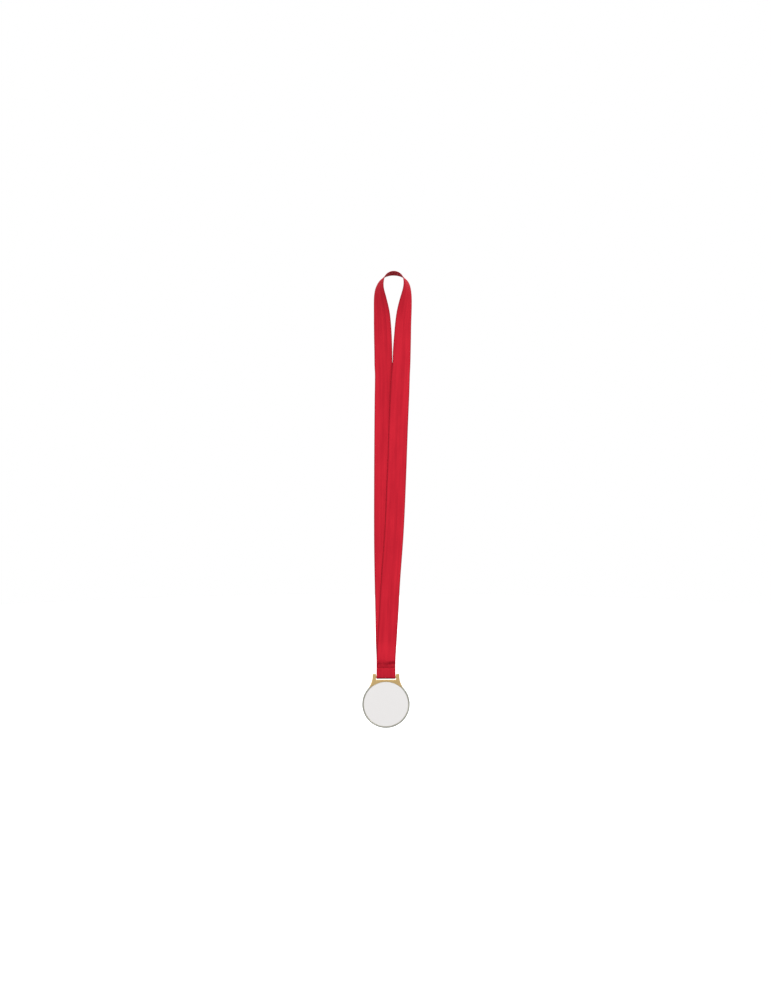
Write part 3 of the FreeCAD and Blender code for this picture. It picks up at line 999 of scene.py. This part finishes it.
    def half_thickness(self, across: np.ndarray) -> np.ndarray:
        """Half the cloth's thickness: round at the selvedges, with a slight bead inside them.

        Args:
            across: places across the ribbon.

        Returns:
            Half the thickness at each.
        """
        edge = np.minimum(across, self.width - across)
        reach = np.clip(1 - edge / self.edge_round, 0, 1)
        bead = self.bead * np.exp(-(((edge - self.bead_place) / self.bead_width) ** 2))
        return (self.thick / 2) * np.sqrt(1 - reach**2) + bead * (edge > self.bead_from)

    def settle(self, place: np.ndarray) -> float:
        """How far the hanging cloth bellies back at a place, the same for both strands.

        Args:
            place: one point.

        Returns:
            The shift along Y, in metres.
        """
        x, _, z = place
        fade = ease(-z, self.sway_from, self.sway_fully)
        fade = fade * ease(z, self.end_top - self.sway_none, self.end_top - self.sway_less)
        return float(fade * self.sway * (self.BELLY.at(x, z) + self.RIPPLES.at(x, z)))

    def piece(self, name: str, first: str, last: str) -> bpy.types.Object:
        """One closed length of the strip, with its cloth map in metres.

        Args:
            name: the piece's name.
            first: the cut that it starts at.
            last: the cut that it ends at.

        Returns:
            The piece.
        """
        begin, end = self.cuts[first], self.cuts[last]
        outer = last == "stop"
        across = self.across()
        half = self.half_thickness(across)
        wide = len(across)
        ring = [(j, 1) for j in range(wide)] + [(j, -1) for j in range(wide - 2, 0, -1)]
        verts, cloth_map = [], []
        for i in range(begin, end + 1):
            point, aside, normal = (
                rows[i] for rows in (self.route.points, self.route.widths, self.route.normals)
            )
            left = self.sewing.squeeze(point[2] - self.sewing.seam, outer)
            offsets = []
            for place in (point + (a - self.width / 2) * aside for a in across):
                shift = np.array([0.0, self.settle(place), 0.0])
                if outer:
                    shift = shift + normal * self.sewing.gather(place)
                offsets.append(place + shift)
            for j, face in ring:
                verts.append(offsets[j] + face * left * half[j] * normal)
                cloth_map.append((across[j], self.route.lengths[i]))
        count, rows = len(ring), end - begin + 1
        faces = []
        for base in range(0, (rows - 1) * count, count):
            for k in range(count):
                here, beside = base + k, base + (k + 1) % count
                faces.append((here, beside, beside + count, here + count))
        faces += self.cap(0, count, wide, False)
        faces += self.cap((rows - 1) * count, count, wide, True)
        mesh = bpy.data.meshes.new(name)
        mesh.from_pydata([tuple(v) for v in verts], [], faces)
        layer = mesh.uv_layers.new(name="cloth")
        for loop in mesh.loops:
            layer.data[loop.index].uv = cloth_map[loop.vertex_index]
        self.tidy_normals(mesh, count, rows)
        if outer:
            # Painted shade for the outer piece, which the cloth material reads to darken the
            # cloth.
            crush = mesh.attributes.new("crush", "FLOAT", "POINT")
            crush.data.foreach_set("value", [self.sewing.crush(v) for v in verts])
        mesh.materials.append(self.cloth)
        return place_object(name, mesh)

    @staticmethod
    def cap(base: int, count: int, wide: int, far: bool) -> list[tuple[int, ...]]:
        """The faces that close one cut end.

        Args:
            base: the first vertex of the end's ring.
            count: vertices in the ring.
            wide: places across the ribbon.
            far: whether it is the strip's far end, which faces the other way.

        Returns:
            The faces.
        """
        faces = []
        for j in range(wide - 1):
            under, under_next = (base + (count - k) % count for k in (j, j + 1))
            corners = list(dict.fromkeys([base + j, base + j + 1, under_next, under]))
            faces.append(tuple(corners if far else reversed(corners)))
        return faces

    @staticmethod
    def tidy_normals(mesh: bpy.types.Mesh, count: int, rows: int) -> None:
        """Turns the faces outwards, smooths them and keeps the cut ends sharp.

        Args:
            mesh: the strip's mesh.
            count: vertices in one ring.
            rows: rings along the strip.
        """
        work = bmesh.new()
        work.from_mesh(mesh)
        bmesh.ops.recalc_face_normals(work, faces=work.faces)
        last = count * (rows - 1)
        for edge in work.edges:
            a, b = (v.index for v in edge.verts)
            edge.smooth = not ((a < count and b < count) or (a >= last and b >= last))
        for face in work.faces:
            face.smooth = True
        work.to_mesh(mesh)
        work.free()

    def build(self) -> list[bpy.types.Object]:
        """Makes the strip's five pieces and ties the two sewn-end pieces to the ribbon's end body.

        Returns:
            The pieces.
        """
        swing_top = self.level("ribbon_back_swing_bend", 1)
        swing_foot = self.level("ribbon_back_swing_bend", 0)
        twist_top = self.level("ribbon_back_twist_bend", 1)
        twist_foot = self.level("ribbon_back_twist_bend", 0)

        neck = self.piece("neck_loop_cloth", "back_neck", "front_neck")
        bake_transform(neck)
        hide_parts("ribbon_neck_arch", "ribbon_left_leg", "ribbon_right_leg",
                    "ribbon_back_swing_bend", "ribbon_front_swing_bend")

        back = self.piece("back_strand_cloth", "back_end", "back_neck")
        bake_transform(back)
        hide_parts("ribbon_back_middle", "ribbon_back_twist_bend")

        front = self.piece("front_strand_cloth", "front_neck", "front_end")
        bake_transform(front)
        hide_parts("ribbon_front_middle", "ribbon_front_twist_bend")

        inner = self.piece("inner_sewn_end_cloth", "start", "back_end")
        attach(inner, "ribbon_end")
        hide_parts("ribbon_back_end")

        outer = self.piece("outer_sewn_end_cloth", "front_end", "stop")
        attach(outer, "ribbon_end")
        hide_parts("ribbon_front_end", "ribbon_end_loop")

        spans = {
            neck: ("back_neck", "front_neck"),
            back: ("back_end", "back_neck"),
            front: ("front_neck", "front_end"),
            inner: ("start", "back_end"),
            outer: ("front_end", "stop"),
        }
        return list(spans)

    @staticmethod
    def level(node: str, corner: int) -> Vector:
        """A point at the height of a CAD node's top (1) or foot (0)."""
        return Vector((0.0, 0.0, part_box(node)[corner].z))


# ---- The seam --------------------------------------------


class StitchRow(NodeTree):
    """A Geometry Nodes tree that lays a row of two-ply lockstitches."""

    INPUTS = (
        ("Start", "NodeSocketVector"),
        ("Pitch", "NodeSocketFloat"),
        ("Count", "NodeSocketInt"),
        ("Stitch Length", "NodeSocketFloat"),
        ("Ply Radius", "NodeSocketFloat"),
        ("Ply Offset", "NodeSocketFloat"),
        ("Arch", "NodeSocketFloat"),
        ("Twist", "NodeSocketFloat"),
        ("Wander", "NodeSocketFloat"),
        ("Seed", "NodeSocketInt"),
        ("Thread", "NodeSocketMaterial"),
    )

    def __init__(self) -> None:
        """Builds the tree."""
        super().__init__(bpy.data.node_groups.new("stitch_row", "GeometryNodeTree"))
        interface = self.tree.interface
        self.sockets: dict[str, str] = {}
        for name, kind in self.INPUTS:
            socket = interface.new_socket(name, in_out="INPUT", socket_type=kind)
            self.sockets[name] = socket.identifier
        interface.new_socket("Geometry", in_out="OUTPUT", socket_type="NodeSocketGeometry")
        self.given = self.add("NodeGroupInput")
        self._build()

    def source(self, given: Any) -> Any:
        """The output of that name of the tree's inputs, or anything else as it is."""
        return self.given.outputs[given] if isinstance(given, str) else given

    def _step(self, kind: str, inputs: dict, settings: dict | None = None) -> bpy.types.NodeSocket:
        """The first output of one new node."""
        return self.add(kind, settings, inputs).outputs[0]

    def _times(self, first: Any, second: Any) -> bpy.types.NodeSocket:
        """The product of two numbers."""
        return self._step("ShaderNodeMath", {0: first, 1: second}, {"operation": "MULTIPLY"})

    def _vector(self, x: Any = 0.0, y: Any = 0.0, z: Any = 0.0) -> bpy.types.NodeSocket:
        """A vector from three components."""
        return self._step("ShaderNodeCombineXYZ", {0: x, 1: y, 2: z})

    def _ply(self, side: float) -> bpy.types.NodeSocket:
        """One ply's round section, set off the thread's middle to one side.

        Args:
            side: -1 for one side and 1 for the other.

        Returns:
            The section.
        """
        section = {"Resolution": 8, "Radius": "Ply Radius"}
        circle = self._step("GeometryNodeCurvePrimitiveCircle", section)
        offset = self._vector(self._times("Ply Offset", side))
        return self._step("GeometryNodeTransform", {"Geometry": circle, "Translation": offset})

    def _stitch(self) -> bpy.types.NodeSocket:
        """One arched stitch of two twisted plies.

        Returns:
            The stitch's mesh.
        """
        half = self._times("Stitch Length", 0.5)
        arc = self._step(
            "GeometryNodeCurveQuadraticBezier",
            {
                "Resolution": 26,
                "Start": self._vector(self._times(half, -1.0)),
                "Middle": self._vector(0.0, self._times("Arch", -2.0)),
                "End": self._vector(half),
            },
        )
        along = self.add("GeometryNodeSplineParameter").outputs["Factor"]
        tilt = {"Curve": arc, "Tilt": self._times(along, "Twist")}
        plies = self.add("GeometryNodeJoinGeometry")
        for side in (-1.0, 1.0):
            self.tree.links.new(self._ply(side), plies.inputs[0])
        return self._step(
            "GeometryNodeCurveToMesh",
            {
                "Curve": self._step("GeometryNodeSetCurveTilt", tilt),
                "Profile Curve": plies.outputs[0],
                "Fill Caps": True,
            },
        )

    def _build(self) -> None:
        """One stitch at every point of a straight row, each turned a little at random."""
        line = {"Count": "Count", "Start Location": "Start", "Offset": self._vector("Pitch")}
        low = self._times("Wander", -1.0)
        stray = self._step(
            "FunctionNodeRandomValue",
            {
                0: self._vector(0.0, low, low),
                1: self._vector(0.0, "Wander", "Wander"),
                "Seed": "Seed",
            },
            {"data_type": "FLOAT_VECTOR"},
        )
        laid = self._step(
            "GeometryNodeInstanceOnPoints",
            {
                "Points": self._step("GeometryNodeMeshLine", line, {"mode": "OFFSET"}),
                "Instance": self._stitch(),
                "Rotation": self._step("FunctionNodeEulerToRotation", {0: stray}),
            },
        )
        smooth = self._step("GeometryNodeSetShadeSmooth", {"Geometry": laid})
        real = self._step("GeometryNodeRealizeInstances", {"Geometry": smooth})
        dressed = self._step("GeometryNodeSetMaterial", {"Geometry": real, "Material": "Thread"})
        self.add("NodeGroupOutput", None, {0: dressed})

    def lay(self, values: dict[str, Any]) -> bpy.types.Mesh:
        """Runs the tree once.

        Args:
            values: a value for each of its inputs.

        Returns:
            A plain mesh of the row.
        """
        holder = place_object("row_holder", bpy.data.meshes.new("row_holder"))
        modifier = holder.modifiers.new("stitches", "NODES")
        modifier.node_group = self.tree
        for name, value in values.items():
            modifier[self.sockets[name]] = value
        graph = bpy.context.evaluated_depsgraph_get()
        mesh = bpy.data.meshes.new_from_object(holder.evaluated_get(graph))
        holder.modifiers.remove(modifier)
        bpy.data.objects.remove(holder)
        return mesh


@dataclass
class SeamStitches:
    """The thread that holds the end loop: one row in front and one behind."""

    thread: bpy.types.Material
    low: Vector
    high: Vector
    cloth_face: float
    pitch: float = STITCH_PITCH
    stitch_length: float = 2.05 * MM
    ply_radius: float = 0.105 * MM
    ply_offset: float = 0.085 * MM
    arch: float = 0.14 * MM
    sink: float = 0.10 * MM
    twist: float = 4 * math.pi
    wander: float = math.radians(5)
    seeds: tuple[int, int] = (3, 8)

    def build(self) -> bpy.types.Object:
        """Lays both rows and joins them.

        Returns:
            The piece.
        """
        row = StitchRow()
        span = self.high.x - self.low.x
        count = round((span - self.stitch_length) / self.pitch) + 1
        first = (self.low.x + self.high.x) / 2 - (count - 1) * self.pitch / 2
        level = (self.low.z + self.high.z) / 2
        work = bmesh.new()
        for side, seed in zip((-1, 1), self.seeds):
            values = {
                "Start": (first, side * (self.cloth_face - self.sink), level),
                "Pitch": self.pitch,
                "Count": count,
                "Stitch Length": self.stitch_length,
                "Ply Radius": self.ply_radius,
                "Ply Offset": self.ply_offset,
                "Arch": -side * self.arch,
                "Twist": self.twist,
                "Wander": self.wander,
                "Seed": seed,
                "Thread": self.thread,
            }
            work.from_mesh(row.lay(values))
        for face in work.faces:
            face.smooth = True
            face.material_index = 0
        bmesh.ops.recalc_face_normals(work, faces=work.faces)
        joined = bpy.data.meshes.new("seam_thread")
        work.to_mesh(joined)
        work.free()
        joined.materials.append(self.thread)
        piece = place_object("seam_thread", joined)
        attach(piece, "ribbon_end")
        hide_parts("seam_stitches")
        log.info("seam_thread: %d stitches a side", count)
        return piece


# ---- The medal and the studio ----------------------------


@dataclass
class Medal:
    """The casting and the blank insert in its recess, which are CAD nodes with their finishes."""

    plating: bpy.types.Material
    coating: bpy.types.Material
    film: bpy.types.Material

    def dress(self) -> None:
        """Gives each CAD node its finish."""
        finishes = {
            "medal_body": self.plating,
            "insert_plate": self.coating,
            "insert_adhesive": self.film,
        }
        for node, finish in finishes.items():
            mesh = bpy.data.objects[node].data
            mesh.materials.clear()
            mesh.materials.append(finish)
            log.info("%s: finished in %s", node, finish.name)


@dataclass(frozen=True)
class SoftBox:
    """A round soft light: where it stands from the medal's middle, its size and its power."""

    name: str
    place: tuple[float, float, float]
    size: float
    power: float


@dataclass
class Studio:
    """Floor, soft light and the camera."""

    floor_finish: bpy.types.Material
    centre: Vector
    middle: Vector
    floor_level: float
    distance: float = 1.0
    aside: float = 0.5 * MM
    view_height: float = 1.0526
    sensor: float = 36.0
    floor_radius: float = 2.6
    floor_lip: float = 0.02
    light_below: float = 0.30
    light_above: float = 0.98

    BOXES = (
        SoftBox("key_box", (0.95, -1.5, 0.75), 1.3, 16.5),
        SoftBox("fill_box", (-1.3, -1.2, 0.1), 1.1, 6.5),
        SoftBox("back_box", (0.3, 1.7, 0.7), 1.5, 7.0),
    )

    def build(self) -> None:
        """Sets the scene."""
        self.floor()
        self.world()
        self.lights()
        self.camera()
        settings = bpy.context.scene.view_settings
        settings.view_transform, settings.look = "Standard", "None"

    def floor(self) -> None:
        """A flat round board with a ring of faces along its edge."""
        work = bmesh.new()
        bmesh.ops.create_circle(work, cap_ends=True, radius=self.floor_radius, segments=96)
        bmesh.ops.inset_region(work, faces=work.faces[:], thickness=self.floor_lip)
        mesh = bpy.data.meshes.new("studio_floor")
        work.to_mesh(mesh)
        work.free()
        mesh.materials.append(self.floor_finish)
        mesh.transform(Matrix.Translation((0, 0, self.floor_level)))
        floor = place_object("studio_floor", mesh)
        floor.visible_diffuse = floor.visible_glossy = False

    def world(self) -> None:
        """White all round for the eye, and weaker from below for the light."""
        world = bpy.data.worlds.new("studio_world")
        bpy.context.scene.world = world
        world.use_nodes = True
        sky = NodeTree(world.node_tree)
        sky.tree.nodes.clear()
        coords = sky.add("ShaderNodeTexCoord")
        axes = sky.add("ShaderNodeSeparateXYZ", None, {0: coords.outputs["Generated"]})
        strengths = {"To Min": self.light_below, "To Max": self.light_above}
        heights = {"Value": axes.outputs["Z"], "From Min": -0.5, "From Max": 0.5}
        ramp = sky.add("ShaderNodeMapRange", None, heights | strengths)
        soft, white = (
            sky.add("ShaderNodeBackground", None, {"Color": (1.0,) * 4, "Strength": strength})
            for strength in (ramp.outputs[0], 1.0)
        )
        eye = sky.add("ShaderNodeLightPath").outputs["Is Camera Ray"]
        choice = {0: eye, 1: soft.outputs[0], 2: white.outputs[0]}
        choose = sky.add("ShaderNodeMixShader", None, choice)
        sky.add("ShaderNodeOutputWorld", None, {"Surface": choose.outputs[0]})

    def lights(self) -> None:
        """Large soft boxes: a key above on the right, a fill on the left and one behind."""
        for box in self.BOXES:
            light = bpy.data.lights.new(box.name, "AREA")
            light.shape, light.size, light.energy = "DISK", box.size, box.power
            lamp = place_object(box.name, light)
            place = Vector(box.place)
            lamp.location = self.middle + place
            lamp.rotation_mode = "QUATERNION"
            lamp.rotation_quaternion = (-place).to_track_quat("-Z", "Y")

    def camera(self) -> None:
        """A level camera in front of the medal, at the middle of the whole height."""
        data = bpy.data.cameras.new("camera")
        data.sensor_width = self.sensor
        data.lens = data.sensor_width * self.distance / self.view_height
        data.clip_start, data.clip_end = 0.05, 20.0
        camera = place_object("camera", data)
        camera.location = (self.centre.x - self.aside, -self.distance, self.middle.z)
        camera.rotation_euler = (math.radians(90), 0, 0)
        bpy.context.scene.camera = camera


def main() -> None:
    """Builds every piece in order."""
    logging.basicConfig(level=logging.INFO, format="%(name)s: %(message)s")
    joints = {joint["name"]: joint for joint in frame["joints"]}
    bar = Vector(joints["medal_swing"]["pos_m"])
    ribbon_low, ribbon_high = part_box("ribbon_back_middle")
    arch_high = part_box("ribbon_neck_arch")[1]
    thick, width = ribbon_high.y - ribbon_low.y, arch_high.y * 2
    loop_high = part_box("ribbon_end_loop")[1]
    loop_radius = loop_high.y - thick / 2
    seam_low, seam_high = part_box("seam_stitches")
    plate_low, plate_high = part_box("insert_plate")
    body_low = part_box("medal_body")[0]
    disc = (plate_low + plate_high) / 2

    sewing = Sewing(
        seam=(seam_low.z + seam_high.z) / 2,
        tail_top=loop_high.z,
        loop_foot=bar.z - loop_radius,
        middle=bar.x,
    )
    NeckRibbon(
        cloth=RibbonCloth(width=width).build(),
        width=width,
        thick=thick,
        arch_radius=arch_high.x - thick / 2,
        bar=bar,
        loop_radius=loop_radius,
        sewing=sewing,
    ).build()
    SeamStitches(
        thread=SewingThread().build(), low=seam_low, high=seam_high, cloth_face=1.5 * thick
    ).build()
    Medal(
        plating=GoldPlating(centre=disc, rim_radius=disc.z - body_low.z).build(),
        coating=WhiteCoating(centre=disc, radius=(plate_high.x - plate_low.x) / 2).build(),
        film=AdhesiveFilm().build(),
    ).dress()
    Studio(
        floor_finish=StudioFloor().build(),
        centre=disc,
        middle=(CAD_BOUNDS[0] + CAD_BOUNDS[1]) / 2,
        floor_level=CAD_BOUNDS[0].z - FLOOR_GAP,
    ).build()


if __name__ == "__main__":
    main()
